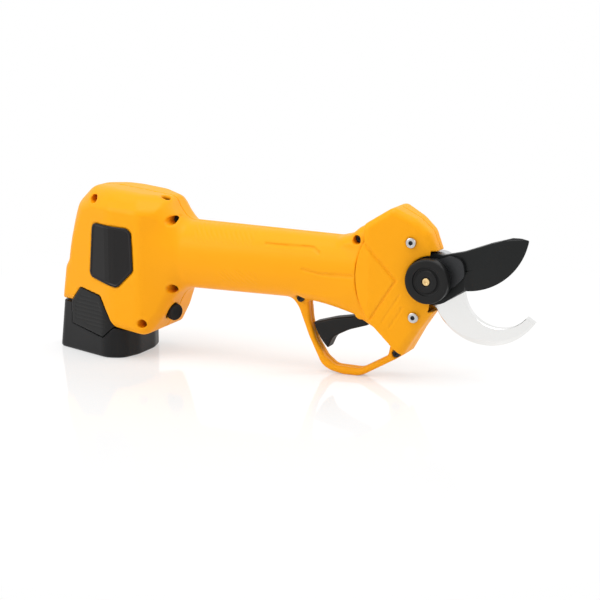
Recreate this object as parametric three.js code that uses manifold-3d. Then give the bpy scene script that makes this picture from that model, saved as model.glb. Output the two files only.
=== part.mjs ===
// Battery electric pruner: two moulded body shells carry the motor, the gear train, the control board
// and the battery pack; a metal head frame inside two head covers carries the hook and the driven blade.
// Millimetres, +X towards the blade, +Z up, -Y the right-hand side. The tool stands on z = 0.

import * as THREE from 'three';
import { LoftGeometry } from 'three/addons/geometries/LoftGeometry.js';
import { mergeVertices } from 'three/addons/utils/BufferGeometryUtils.js';
import Module from 'manifold-3d';

const wasm = await Module();
wasm.setup();

// ---- general clearances and walls ----
const GAP = 0.3;              // between pieces that touch
const RUN = 0.1;              // radial running clearance of a shaft in its bore
const WALL = 2.6;             // moulded shells

// ---- main axis, pivot and head ----
const AXIS_Z = 62.8;          // height of the drive axis and of the blade pivot
const PIVOT_X = 94.6;
const SEAM_RADIUS = 43;       // arc between the handle and the head covers, round the pivot
// half plan of the head: it tapers from the handle towards the jaws
const HEAD_PLAN = [[40, 17.2], [60, 17.2], [98, 7.5], [110, 4.4]];
const COVER_NOTCH_RADIUS = 15.5;
const NUT_NOTCH_RADIUS = 13.6;  // the near cover's notch closes round the pivot nut

// ---- handle ----
const HANDLE_START = { x: -74, z: 65.6, halfHeight: 21.0, halfWidth: 19.2 };
const HANDLE_END = { x: 64, z: 63.4, halfHeight: 19.3, halfWidth: 17.2 };
const HANDLE_SQUARENESS = 2.3;

// ---- rear housing: side outline (x, z, corner radius), counter-clockwise ----
const HOUSING_SIDE = [
  [-152.2, 31, 0], [-141, 31, 0], [-106, 20, 0], [-83, 16, 5], [-74, 29, 12], [-66, 46, 6], [-63.5, 84, 8],
  [-72.5, 100, 8], [-113, 105.6, 22], [-127, 105.5, 10], [-138.8, 95, 10], [-141.4, 78, 0], [-145.3, 57.6, 3], [-148.4, 52.6, 3],
];
const HOUSING_HALF_WIDTH = 27.6;
const HOUSING_TOP = 105.1;
const HOUSING_TOP_EDGE = 15;
// half plans, from the rear to the front: (x, half width, corner radius)
const HOUSING_PLAN = [[-154.8, 9.4, 7], [-106.5, HOUSING_HALF_WIDTH, 20], [-86, HOUSING_HALF_WIDTH, 12], [-62, 13, 10]];
const PACK_PLAN = [[-154.8, 9.4, 7], [-110, HOUSING_HALF_WIDTH - 0.7, 12], [-99.5, HOUSING_HALF_WIDTH - 4.6, 9], [-95.6, 10, 14]];
const PACK_LEAN = 2.4;        // how far the pack's rear leans in from its foot to the housing

// ---- head: outline after the seam arc (x, z, corner radius), counter-clockwise from the arc's foot ----
const HEAD_RIM = [[73.6, 21.6, 0], [79, 16.6, 0], [88, 31.8, 10], [97.4, 45, 2], [98.8, 78.2, 2], [94, 90.4, 8], [86, 97.2, 10],
  [72.6, 104, 5], [56.6, 93.8, 1]];
const SEAM_TOP = 150.6;       // directions of the seam arc's ends, in degrees
const SEAM_FOOT = 219;

// ---- trigger guard: outer and inner edge (x, z, corner radius) ----
const GUARD_HALF_WIDTH = 4.6;
const GUARD_OUTER = [[2.2, 49, 0], [10.2, 38.5, 14], [16.8, 21.5, 20], [25.2, 4.4, 10], [31, 1.6, 8], [39, 0, 12], [50, 0, 14],
  [72, 12.4, 8], [79.5, 17.2, 0]];
const GUARD_INNER = [[79, 28, 0], [69, 22, 4], [67.5, 14.4, 4], [50, 4.6, 9], [33.5, 5, 7], [27.3, 9.8, 8], [21, 19.8, 12],
  [17.6, 31, 14], [15.8, 49, 0]];
// lower and upper flares that join the handle to the head
const LOWER_FLARE = [[16, 50, 0], [32, 44.4, 12], [48, 38.6, 6], [60, 31.8, 0], [73.6, 20.6, 0], [78, 50, 0], [60, 60, 0]];
const LOWER_FLARE_HALF_WIDTH = 14;
const UPPER_FLARE = [[40, 78, 0], [62, 70, 0], [66, 97, 0], [57.6, 93.8, 0], [50.8, 90.2, 3], [45.4, 85.6, 6], [40, 82.6, 0]];
const UPPER_FLARE_HALF_WIDTH = 13;

// ---- screws that close the shells: x, z, the depth of the head's face, and how far the shank goes ----
const BODY_SCREWS = [[-120.5, 98, 8, 8], [-69.5, 87, 5, 8], [-69, 45.5, 5, 8], [-85, 24, 12, 12],
  [50.6, 83.4, 6, 7], [12.5, 44.6, 5, 7], [72.8, 16, 2.6, 3.4]];
const SCREW_HEAD_RADIUS = 2.3;
const SCREW_HEAD_HEIGHT = 1.6;
const SCREW_SHANK_RADIUS = 1.2;
const SCREW_WALL = 1.25;      // boss wall round a screw well
const HEAD_SCREWS = [[84, 84], [85.8, 40.4]];
const HEAD_SCREW_FACE = -11;  // y of the spot face under the screws' heads
const HEAD_SCREW_RADIUS = 3;
const HEAD_SCREW_SHANK = 1.6;

// ---- jaws ----
const BLADE_THICKNESS = 3.5;
const BLADE_BACK = -1.5;      // y of the blade's face next to the hook
const BLADE_ROOT_RADIUS = 15.5;
const BLADE_EDGE = { x: 112.8, z: 94.8, radius: 38.3, bevel: 7 };
const HOOK_THICKNESS = 4.9;
const HOOK_OUTER = { x: 126.56, z: 58.7, radius: 33.3 };
const HOOK_INNER = { x: 133.7, z: 57.4, radius: 21.2 };
const HOOK_ROOT_RADIUS = 14.2;
const HOOK_SCREWS = [[85.4, 55.6], [85.4, 70]];
const BOLT_RADIUS = 5;
const BOLT_HEAD_RADIUS = 7.4;
const CAP_RADIUS = 13;
const CAP_FRONT = -16;
const CAP_BACK = -10.3;
const FRAME_PLATE_THICKNESS = 3;
const FRAME_BOSS_THICKNESS = 7;

// ---- gear train ----
const BEVEL_RATIO = 5;        // teeth on the full blade gear over teeth on the pinion
const PINION_TEETH = 12;
const BEVEL_OUTER = 29;       // cone distances along the blade gear's radius
const BEVEL_INNER = 21.5;
const PLANET_MODULE = 0.56;
const SUN_TEETH = 12;
const PLANET_TEETH = 15;
const PLANETS = 3;
const TRAIN_RADIUS = 14.2;    // outside of the ring gear
const SHAFT_RADIUS = 4;
const MOTOR_RADIUS = 14;
const MOTOR_REAR = -50;
const MOTOR_FRONT = -4;
const STAGE_X = [2, 14.6];    // where each planet stage starts
const STAGE_LENGTH = 8.6;
const BEARING_RADIUS = 11;
const BEARING_WIDTH = 7;
const BARREL_RADIUS = 14.8;
const BARREL = [35.8, 61];

// ---- trigger and power button ----
const TRIGGER_PIVOT = [53.6, 40.6];
const TRIGGER_REACH = 35;     // from the pivot to the lever's tip, which is round about the pivot
const TRIGGER_HALF_WIDTH = 5;
const TRIGGER_PIN_RADIUS = 2;
const BUTTON_CENTRE = new THREE.Vector3(-72.4, -7.6, 29.2);
const BUTTON_AXIS = new THREE.Vector3(0.9, -0.42, -0.1).normalize();
const BUTTON_RADIUS = 5.2;
const BUTTON_TRAVEL = 1.2;

// ---- battery pack ----
const PACK_FLOOR = 2.6;
const PACK_INSERT = 3.4;      // step in from the outer skin to the part inside the housing
const PACK_WALL = 1.8;
const PACK_INSERT_REAR = -144.8;
const PACK_SHOULDER = 48;     // the wide part of the insert ends here and the cells' tower goes on
const PACK_TOWER_REAR = -138;
const PACK_INSERT_TOP = 72;
const CONTACT_HEIGHT = 7;     // the housing's contact block, between the pack's lid and the control board
const CELL_RADIUS = 9.1;
const CELL_LENGTH = 65;
const CELL_FRONT_X = -110.6;
const LATCH = [[-141.4, 17.5, 0], [-113, 12.9, 0], [-104.8, 20.3, 0], [-115.2, 38.3, 2], [-133, 41.3, 2], [-141.4, 31.6, 0]];
const LATCH_THICKNESS = 2;

// ================= helpers =================

const radians = THREE.MathUtils.degToRad;
const group = new THREE.Group();

const finish = (color, roughness, metalness = 0) => new THREE.MeshStandardMaterial({ color, roughness, metalness });
const orangeShell = () => finish(0xf59e12, 0.45);
const blackPlastic = () => finish(0x2a2a2b, 0.6);
const blackRubber = () => finish(0x1d1d1e, 0.85);
const steel = () => finish(0xb9bcbe, 0.35, 1);
const darkSteel = () => finish(0x303234, 0.45, 0.8);
const brass = () => finish(0xd8b46a, 0.35, 1);
const aluminium = () => finish(0xc4c6c8, 0.5, 1);

// A closed geometry as a manifold solid: shared corners merged, slivers of no area left out.
function solid(geometry) {
  const corners = new THREE.BufferGeometry();
  corners.setAttribute('position', geometry.getAttribute('position').clone());
  corners.setIndex(geometry.index && geometry.index.clone());
  const plain = mergeVertices(corners, 1e-4);
  const kept = [];
  const index = plain.index.array;
  for (let i = 0; i < index.length; i += 3) {
    const [a, b, c] = [index[i], index[i + 1], index[i + 2]];
    if (a !== b && b !== c && a !== c) kept.push(a, b, c);
  }
  const build = (triVerts) => new wasm.Manifold(new wasm.Mesh({
    numProp: 3,
    vertProperties: new Float32Array(plain.attributes.position.array),
    triVerts: new Uint32Array(triVerts),
  }));
  const body = build(kept);
  return body.volume() > 0 ? body : build(kept.toReversed());
}

function geometryOf(body) {
  const mesh = body.getMesh();
  const geometry = new THREE.BufferGeometry();
  geometry.setAttribute('position', new THREE.BufferAttribute(mesh.vertProperties, 3));
  geometry.setIndex(new THREE.BufferAttribute(mesh.triVerts, 1));
  geometry.computeVertexNormals();
  return geometry;
}

function addPart(name, body, material) {
  const mesh = new THREE.Mesh(geometryOf(body), material);
  mesh.name = name;
  group.add(mesh);
}

const union = (bodies) => bodies.reduce((whole, body) => whole.add(body));

// Corners with their radii as a smooth list of points.
function outline(corners) {
  const points = [];
  corners.forEach(([x, z, radius = 0], i) => {
    const here = new THREE.Vector2(x, z);
    const before = corners.at(i - 1);
    const after = corners[(i + 1) % corners.length];
    const back = new THREE.Vector2(before[0], before[1]).sub(here).normalize();
    const ahead = new THREE.Vector2(after[0], after[1]).sub(here).normalize();
    const half = Math.acos(THREE.MathUtils.clamp(back.dot(ahead), -1, 1)) / 2;
    if (radius === 0 || half > radians(88)) {
      points.push(here);
      return;
    }
    const centre = here.clone().add(back.clone().add(ahead).normalize().multiplyScalar(radius / Math.sin(half)));
    const start = here.clone().add(back.multiplyScalar(radius / Math.tan(half))).sub(centre);
    const turn = Math.PI - 2 * half;
    const way = Math.sign(start.cross(here.clone().sub(centre)));
    const steps = Math.max(2, Math.ceil(turn / radians(30)));
    for (let k = 0; k <= steps; k += 1) {
      points.push(start.clone().rotateAround(new THREE.Vector2(), way * turn * k / steps).add(centre));
    }
  });
  return points;
}

// Counter-clockwise corners moved inwards by a distance (outwards if it is negative).
function inset(corners, distance) {
  return corners.map(([x, z, radius = 0], i) => {
    const here = new THREE.Vector2(x, z);
    const before = corners.at(i - 1);
    const after = corners[(i + 1) % corners.length];
    const into = here.clone().sub(new THREE.Vector2(before[0], before[1])).normalize();
    const away = new THREE.Vector2(after[0], after[1]).sub(here).normalize();
    const normals = new THREE.Vector2(-into.y - away.y, into.x + away.x);
    const shift = normals.multiplyScalar(2 * distance / normals.lengthSq());
    const convex = into.cross(away) > 0;
    const round = radius === 0 ? 0 : Math.max(radius + (convex ? -distance : distance), 0);
    return [x + shift.x, z + shift.y, round];
  });
}

const arc = (cx, cz, radius, from, to, steps) => Array.from({ length: steps + 1 }, (_, k) => {
  const angle = radians(from + (to - from) * k / steps);
  return [cx + radius * Math.cos(angle), cz + radius * Math.sin(angle), 0];
});

// Local x, y and z of a drawn outline laid along the part's axes.
const PLANES = {
  y: new THREE.Matrix4().makeBasis(new THREE.Vector3(1, 0, 0), new THREE.Vector3(0, 0, 1), new THREE.Vector3(0, -1, 0)),
  z: new THREE.Matrix4(),
  x: new THREE.Matrix4().makeBasis(new THREE.Vector3(0, 1, 0), new THREE.Vector3(0, 0, 1), new THREE.Vector3(1, 0, 0)),
};

// Outline corners extruded along an axis from one place to another.
function prism(axis, corners, from, to) {
  const geometry = new THREE.ExtrudeGeometry(new THREE.Shape(outline(corners)), { depth: to - from, bevelEnabled: false });
  geometry.translate(0, 0, axis === 'y' ? -to : from);
  return solid(geometry.applyMatrix4(PLANES[axis]));
}

const box = (x0, x1, y0, y1, z0, z1) => solid(
  new THREE.BoxGeometry(x1 - x0, y1 - y0, z1 - z0).translate((x0 + x1) / 2, (y0 + y1) / 2, (z0 + z1) / 2));

// A profile of (radius, place along the axis) turned about an axis through (u, v):
// y axis: u = x, v = z; x axis: u = y, v = z; z axis: u = x, v = y.
function turned(axis, profile, u, v, segments = 20) {
  const geometry = new THREE.LatheGeometry(profile.map(([r, h]) => new THREE.Vector2(r, h)), segments);
  if (axis === 'x') geometry.rotateZ(-Math.PI / 2).translate(0, u, v);
  if (axis === 'y') geometry.translate(u, 0, v);
  if (axis === 'z') geometry.rotateX(Math.PI / 2).translate(u, v, 0);
  return solid(geometry);
}

const rod = (axis, radius, from, to, u, v, segments = 20) => turned(
  axis, [[0, from], [radius, from], [radius, to], [0, to]], u, v, segments);

const ring = (axis, outer, inner, from, to, u, v, segments = 20) => rod(axis, outer, from, to, u, v, segments)
  .subtract(rod(axis, inner, from - 1, to + 1, u, v, segments));

// The half-plan given from rear to front, mirrored about y = 0 into counter-clockwise corners.
const mirroredPlan = (half) => [
  ...half.map(([x, y, r]) => [x, -y, r]), ...half.toReversed().map(([x, y, r]) => [x, y, r])];

// Everything on one side of the parting plane, half a gap away from it.
const nearHalf = (body) => body.intersect(box(-200, 200, -60, -GAP / 2, -20, 140));
const farHalf = (body) => body.intersect(box(-200, 200, GAP / 2, 60, -20, 140));

// ================= body shells =================

function handleSection(x, wall) {
  const share = (x - HANDLE_START.x) / (HANDLE_END.x - HANDLE_START.x);
  const mix = (key) => THREE.MathUtils.lerp(HANDLE_START[key], HANDLE_END[key], share);
  const power = 2 / HANDLE_SQUARENESS;
  return Array.from({ length: 20 }, (_, k) => {
    const angle = radians(360 * k / 20);
    const [c, s] = [Math.cos(angle), Math.sin(angle)];
    return new THREE.Vector3(
      x,
      (mix('halfWidth') - wall) * Math.sign(c) * Math.abs(c) ** power,
      mix('z') + (mix('halfHeight') - wall) * Math.sign(s) * Math.abs(s) ** power,
    );
  });
}

function handle(wall, from = HANDLE_START.x, to = HANDLE_END.x) {
  const sections = [from, to].map((x) => handleSection(x, wall));
  return solid(new LoftGeometry(sections, { capStart: true, capEnd: true }));
}

function housing(wall) {
  const half = HOUSING_HALF_WIDTH - wall;
  const front = [[-half, 0, 0], [half, 0, 0], [half, HOUSING_TOP - wall, HOUSING_TOP_EDGE - wall],
    [-half, HOUSING_TOP - wall, HOUSING_TOP_EDGE - wall]];
  return prism('y', inset(HOUSING_SIDE, wall), -40, 40)
    .intersect(prism('z', inset(mirroredPlan(HOUSING_PLAN), wall), 0, 120))
    .intersect(prism('x', front, -180, 0));
}

function bodyEnvelope(wall) {
  return union([
    housing(wall), handle(wall),
    prism('y', inset(LOWER_FLARE, wall), wall - LOWER_FLARE_HALF_WIDTH, LOWER_FLARE_HALF_WIDTH - wall),
    prism('y', inset(UPPER_FLARE, wall), wall - UPPER_FLARE_HALF_WIDTH, UPPER_FLARE_HALF_WIDTH - wall),
  ]);
}

const guard = () => prism('y', [...GUARD_OUTER, ...GUARD_INNER], -GUARD_HALF_WIDTH, GUARD_HALF_WIDTH);

const headCorners = () => [...arc(PIVOT_X, AXIS_Z, SEAM_RADIUS, SEAM_TOP, SEAM_FOOT, 8), ...HEAD_RIM];

// Rings inside the shells that hold the motor, the gearbox and the barrel of the head frame.
function cradles() {
  const places = [[-44, MOTOR_RADIUS], [-16, MOTOR_RADIUS], [14, TRAIN_RADIUS], [40, BARREL_RADIUS]];
  return union(places.map(([x, radius]) => handle(WALL / 2, x, x + 3)
    .subtract(rod('x', radius + GAP, x - 1, x + 4, 0, AXIS_Z, 24))));
}

// Bosses, wells and holes for the shell screws, within the shells' own envelope.
function screwBosses(envelope) {
  const wells = BODY_SCREWS.map(([x, z, depth, reach]) => union([
    rod('y', SCREW_HEAD_RADIUS + GAP, -40, -depth, x, z, 12).add(
      rod('y', SCREW_SHANK_RADIUS + GAP, -depth - 1, reach + GAP, x, z, 10))]));
  const bosses = BODY_SCREWS.map(([x, z]) => rod('y', SCREW_HEAD_RADIUS + GAP + SCREW_WALL, -30, 30, x, z, 12));
  return { bosses: union(bosses).intersect(envelope), wells: union(wells) };
}

const packPrism = (step, from, to) => prism('z', inset(mirroredPlan(PACK_PLAN), step), from, to);

// The part of the pack inside the housing: cut short at the rear, where the housing leans in.
const insertPrism = (step, from, to, rear = PACK_INSERT_REAR) => packPrism(PACK_INSERT + step, from, to)
  .intersect(box(rear + step, 0, -60, 60, from - 1, to + 1));

function latchWindow(clearance) {
  const corners = inset(LATCH, -clearance);
  return prism('y', corners, -40, -8).add(prism('y', corners, 8, 40));
}

function buttonRod(radius, from, to, segments = 20) {
  const geometry = new THREE.LatheGeometry(
    [[0, from], [radius, from], [radius, to], [0, to]].map(([r, h]) => new THREE.Vector2(r, h)), segments);
  geometry.applyQuaternion(new THREE.Quaternion().setFromUnitVectors(new THREE.Vector3(0, 1, 0), BUTTON_AXIS));
  geometry.translate(BUTTON_CENTRE.x, BUTTON_CENTRE.y, BUTTON_CENTRE.z);
  return solid(geometry);
}

const LIGHT = { x: -77, y: -7, radius: 2.6 };
const BOARD = { x0: -126, x1: -86, halfWidth: 14.6, z: 91.5, thickness: 1.6 };

function bodyShells() {
  const envelope = bodyEnvelope(0);
  const { bosses, wells } = screwBosses(envelope.add(guard()));
  const [tx, tz] = TRIGGER_PIVOT;
  const pinBoss = TRIGGER_PIN_RADIUS + 2;
  const trigger = [[31, 41, 0], [48, 34, 0], [tx + 9, 25, 0], [tx + 8, tz, 0], [tx + 4, 47.6, 0], [34, 47.6, 0]];
  const rails = box(-128, -90, -26, 26, BOARD.z - GAP - 1.8, BOARD.z - GAP)
    .subtract(box(-129, -89, -12.6, 12.6, 80, 100)).intersect(housing(WALL / 2));
  let shell = envelope.add(guard()).subtract(bodyEnvelope(WALL))
    .add(cradles())
    .add(bosses)
    .add(rails)
    .add(rod('y', pinBoss, -LOWER_FLARE_HALF_WIDTH + 1, LOWER_FLARE_HALF_WIDTH - 1, tx, tz, 20))
    .add(buttonRod(BUTTON_RADIUS + 2.2, -4.5, 0.2).intersect(envelope));
  const slotHalf = TRIGGER_HALF_WIDTH + 0.8;
  shell = shell
    .subtract(prism('y', trigger, -slotHalf, slotHalf))
    .subtract(wells)
    .subtract(rod('y', TRIGGER_PIN_RADIUS + RUN, -11.5, 11.5, tx, tz, 20))
    .subtract(insertPrism(-0.5, 0, 37))
    .subtract(latchWindow(0.4))
    .subtract(buttonRod(BUTTON_RADIUS + GAP, -9, 6))
    .subtract(rod('z', LIGHT.radius + GAP, 90, 120, LIGHT.x, LIGHT.y, 16))
    .subtract(prism('y', inset(headCorners(), -GAP), -40, 40))
    .subtract(rod('x', TRAIN_RADIUS + GAP, MOTOR_FRONT, BARREL[0], 0, AXIS_Z, 24))
    .subtract(rod('x', BARREL_RADIUS + GAP, BARREL[0] - 1, BARREL[1] + 1, 0, AXIS_Z, 24));
  addPart('right_body_shell', nearHalf(shell), orangeShell());
  addPart('left_body_shell', farHalf(shell), orangeShell());
}

function screw(axisPlace, headFace, reach, headRadius, shank, x, z) {
  return turned('y', [[0, headFace], [headRadius, headFace], [headRadius, headFace + axisPlace], [shank, headFace + axisPlace],
    [shank, reach], [0, reach]], x, z, 12);
}

function bodyScrews() {
  BODY_SCREWS.forEach(([x, z, depth, reach], i) => {
    const head = -depth - SCREW_HEAD_HEIGHT - GAP;
    addPart(`body_screw_${i + 1}`, screw(SCREW_HEAD_HEIGHT, head, reach, SCREW_HEAD_RADIUS, SCREW_SHANK_RADIUS, x, z), darkSteel());
  });
}

function badge() {
  const corners = [[-120.5, 84, 4], [-123.8, 50, 4], [-101, 45.2, 4], [-89.6, 56.4, 4], [-90.6, 82.4, 5]];
  const skin = prism('z', inset(mirroredPlan(HOUSING_PLAN), -0.9), 40, 90)
    .subtract(prism('z', inset(mirroredPlan(HOUSING_PLAN), -GAP), 30, 100));
  addPart('badge', skin.intersect(prism('y', corners, -40, 0)), finish(0x2c2a2a, 0.4));
}

// ================= head =================

const headEnvelope = (wall) => prism('y', inset(headCorners(), wall), -30, 30)
  .intersect(prism('z', inset(mirroredPlan(HEAD_PLAN), wall), 0, 120));

function headCovers() {
  const jaws = box(PIVOT_X, 120, -30, 30, 43.6, 77.6).add(box(82, 120, -8, 8, 43.6, 77.6))
    .add(rod('y', BLADE_ROOT_RADIUS + 1, -8, 8, PIVOT_X, AXIS_Z, 24));
  const open = [[58, 44, 0], [58, 30, 0], [64, 26, 0], [70, 38, 0]];
  const spot = HEAD_SCREWS.map(([x, z]) => rod('y', HEAD_SCREW_RADIUS + GAP, -30, HEAD_SCREW_FACE, x, z, 20));
  const holes = HEAD_SCREWS.map(([x, z]) => rod('y', HEAD_SCREW_SHANK + RUN, -30, 9.6, x, z, 16));
  const notch = rod('y', NUT_NOTCH_RADIUS, -40, 0, PIVOT_X, AXIS_Z, 24)
    .add(rod('y', COVER_NOTCH_RADIUS, 0, 40, PIVOT_X, AXIS_Z, 24));
  const barrel = rod('x', BARREL_RADIUS + GAP, BARREL[0] - 1, BARREL[1] + 1, 0, AXIS_Z, 24);
  const corner = BODY_SCREWS.at(-1);
  const seats = HEAD_SCREWS.map(([x, z]) => rod('y', HEAD_SCREW_RADIUS + 1.2, 7.6, 20, x, z, 16));
  const shell = headEnvelope(0).subtract(headEnvelope(WALL))
    .add(union(seats).intersect(headEnvelope(0)))
    .subtract(union([...spot, ...holes, notch, barrel, jaws]))
    .subtract(box(45, 66, -14, 14, 40, 86))
    .subtract(prism('y', open, -8, 8))
    .subtract(rod('y', SCREW_HEAD_RADIUS + SCREW_WALL + 2 * GAP, -40, 40, corner[0], corner[1], 16));
  addPart('right_head_cover', nearHalf(shell), orangeShell());
  addPart('left_head_cover', farHalf(shell), orangeShell());
}

function headScrews() {
  HEAD_SCREWS.forEach(([x, z], i) => {
    addPart(`head_screw_${i + 1}`, screw(1.6, HEAD_SCREW_FACE - GAP - 1.6, 9.2, HEAD_SCREW_RADIUS, HEAD_SCREW_SHANK, x, z), steel());
  });
}

function headFrame() {
  const from = BLADE_BACK + GAP + HOOK_THICKNESS + GAP;
  const to = from + FRAME_PLATE_THICKNESS;
  const back = from + FRAME_BOSS_THICKNESS;
  const plate = [[54, 50, 3], [68, 44, 3], [80, 37, 3], [87.6, 37, 3], [88, 62, 0], [86.8, 87, 3], [79, 88, 3], [62, 76, 3], [54, 76, 3]];
  const posts = HEAD_SCREWS.map(([x, z]) => rod('y', 3.4, -10, from + 1, x, z, 16));
  const [rear, front] = BARREL;
  const inside = headEnvelope(WALL + GAP);
  const frame = prism('y', plate, from, to).intersect(inside).add(rod('x', BARREL_RADIUS, rear, front, 0, AXIS_Z, 24))
    .add(union(posts).intersect(inside))
    .add(rod('y', COVER_NOTCH_RADIUS - 1, from, back, PIVOT_X, AXIS_Z, 24))
    .subtract(rod('x', BEARING_RADIUS + RUN, rear - 1, rear + 0.8 + BEARING_WIDTH, 0, AXIS_Z, 24))
    .subtract(rod('x', BEARING_RADIUS + RUN, front - 0.8 - BEARING_WIDTH, front + 1, 0, AXIS_Z, 24))
    .subtract(rod('x', 8.2, rear, front + 20, 0, AXIS_Z, 24))
    .subtract(rod('y', BOLT_RADIUS + RUN, 0, 20, PIVOT_X, AXIS_Z, 24))
    .subtract(union(HEAD_SCREWS.map(([x, z]) => rod('y', HEAD_SCREW_SHANK + RUN, -30, 30, x, z, 16))))
    .subtract(union(HOOK_SCREWS.map(([x, z]) => rod('y', SCREW_SHANK_RADIUS + RUN, 0, 30, x, z, 12))));
  addPart('head_frame', frame, aluminium());
  HOOK_SCREWS.forEach(([x, z], i) => {
    const body = turned('y', [[0, 2], [SCREW_SHANK_RADIUS, 2], [SCREW_SHANK_RADIUS, back + GAP], [2.6, back + GAP],
      [2.6, back + 2.1], [0, back + 2.1]], x, z, 12);
    addPart(`hook_screw_${i + 1}`, body, darkSteel());
  });
}

function hook() {
  const front = BLADE_BACK + GAP;
  const { x: ox, z: oz, radius: outer } = HOOK_OUTER;
  const { x: ix, z: iz, radius: inner } = HOOK_INNER;
  const root = arc(PIVOT_X, AXIS_Z, HOOK_ROOT_RADIUS, 25, 228, 9);
  const corners = [...arc(ox, oz, outer, 205, 328, 14), ...arc(ix, iz, inner, 321, 186, 14), ...root];
  const body = prism('y', corners, front, front + HOOK_THICKNESS)
    .subtract(rod('y', BOLT_RADIUS + RUN, -5, 10, PIVOT_X, AXIS_Z, 24))
    .subtract(union(HOOK_SCREWS.map(([x, z]) => rod('y', SCREW_SHANK_RADIUS + RUN, 1.6, 9, x, z, 12))));
  addPart('counter_blade', body, finish(0xe6e6e6, 0.18, 1));
}

function blade() {
  const front = BLADE_BACK - BLADE_THICKNESS;
  const { x, z, radius, bevel } = BLADE_EDGE;
  const corners = [...arc(PIVOT_X, AXIS_Z, BLADE_ROOT_RADIUS, 73, 307, 14), ...arc(x, z, radius, 272, 349.5, 14),
    [141.1, 89.3, 0], [129.5, 85.9, 0], [113.4, 79.9, 0]];
  const slope = turned('y', [[0, front], [radius - bevel, front], [radius + 0.1, BLADE_BACK], [0, BLADE_BACK]], x, z, 40);
  const ground = box(116, 170, front - 1, BLADE_BACK, 40, 100).subtract(slope);
  const body = prism('y', corners, front, BLADE_BACK).subtract(ground)
    .subtract(rod('y', BOLT_RADIUS + RUN, -10, 0, PIVOT_X, AXIS_Z, 24));
  addPart('moving_blade', body, finish(0x26282a, 0.5, 0.6));
}

function pivotStack() {
  const cap = [[SCREW_SHANK_RADIUS, CAP_FRONT + 1.4], [2.5, CAP_FRONT + 1.4], [2.5, CAP_FRONT], [4.6, CAP_FRONT], [4.6, CAP_FRONT + 0.7],
    [8.2, CAP_FRONT + 0.7], [8.2, CAP_FRONT], [CAP_RADIUS - 0.8, CAP_FRONT], [CAP_RADIUS, CAP_FRONT + 0.8], [CAP_RADIUS, CAP_BACK],
    [BOLT_RADIUS + RUN, CAP_BACK], [BOLT_RADIUS + RUN, CAP_FRONT + 3.6], [SCREW_SHANK_RADIUS, CAP_FRONT + 3.6],
    [SCREW_SHANK_RADIUS, CAP_FRONT + 1.4]];
  addPart('pivot_nut', turned('y', cap, PIVOT_X, AXIS_Z, 24), blackPlastic());
  const seat = BLADE_BACK + GAP + HOOK_THICKNESS + GAP + FRAME_BOSS_THICKNESS + GAP;
  const bolt = turned('y', [[0, CAP_FRONT + 4], [BOLT_RADIUS, CAP_FRONT + 4], [BOLT_RADIUS, seat], [BOLT_HEAD_RADIUS, seat],
    [BOLT_HEAD_RADIUS, seat + 3.6], [BOLT_HEAD_RADIUS - 0.8, seat + 4.4], [3, seat + 4.4], [3, seat + 1.8], [0, seat + 1.8]],
  PIVOT_X, AXIS_Z, 24).subtract(rod('y', 1.3, CAP_FRONT + 2, -7, PIVOT_X, AXIS_Z, 12));
  addPart('pivot_bolt', bolt, darkSteel());
  addPart('cap_screw', turned('y', [[0, CAP_FRONT], [2.2, CAP_FRONT], [2.2, CAP_FRONT + 1.1], [1.1, CAP_FRONT + 1.1],
    [1.1, -8], [0, -8]], PIVOT_X, AXIS_Z, 16), brass());
  addPart('thrust_washer', ring('y', 8.5, BOLT_RADIUS + RUN, CAP_BACK + 0.2, GEAR_FACE - 0.2, PIVOT_X, AXIS_Z, 24), steel());
}

// ================= bevel drive =================

const GEAR_FACE = -9.2;        // y of the blade gear's front face
const GEAR_BACK = BLADE_BACK - BLADE_THICKNESS - GAP;
const GEAR_WEB_FACE = -7.7;    // the web between hub and rim is thinner, to pass inside the head cover
const GEAR_WEB_RADIUS = 23;

// A tooth of the blade gear: a trapezoid carried along the radius, shrinking with it towards the apex.
function bevelTooth(direction, teeth, thickness) {
  const section = (distance) => {
    const scale = distance / BEVEL_OUTER;
    const pitchHalf = Math.PI * BEVEL_OUTER / teeth / 2 * scale * thickness;
    const depth = 0.92 * scale;
    const pitchY = -distance / BEVEL_RATIO;
    const shape = [[-pitchHalf - 0.42 * depth, pitchY - 1.9], [pitchHalf + 0.42 * depth, pitchY - 2.5],
      [pitchHalf * 0.5, pitchY + 0.8 * depth], [-pitchHalf * 0.5, pitchY + 0.8 * depth]];
    return shape.map(([across, y]) => new THREE.Vector3(distance, y, across)).toReversed();
  };
  const sections = [section(BEVEL_INNER), section(BEVEL_OUTER)];
  const geometry = new LoftGeometry(sections, { capStart: true, capEnd: true });
  return solid(geometry.rotateY(-direction).translate(PIVOT_X, 0, AXIS_Z));
}

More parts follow.
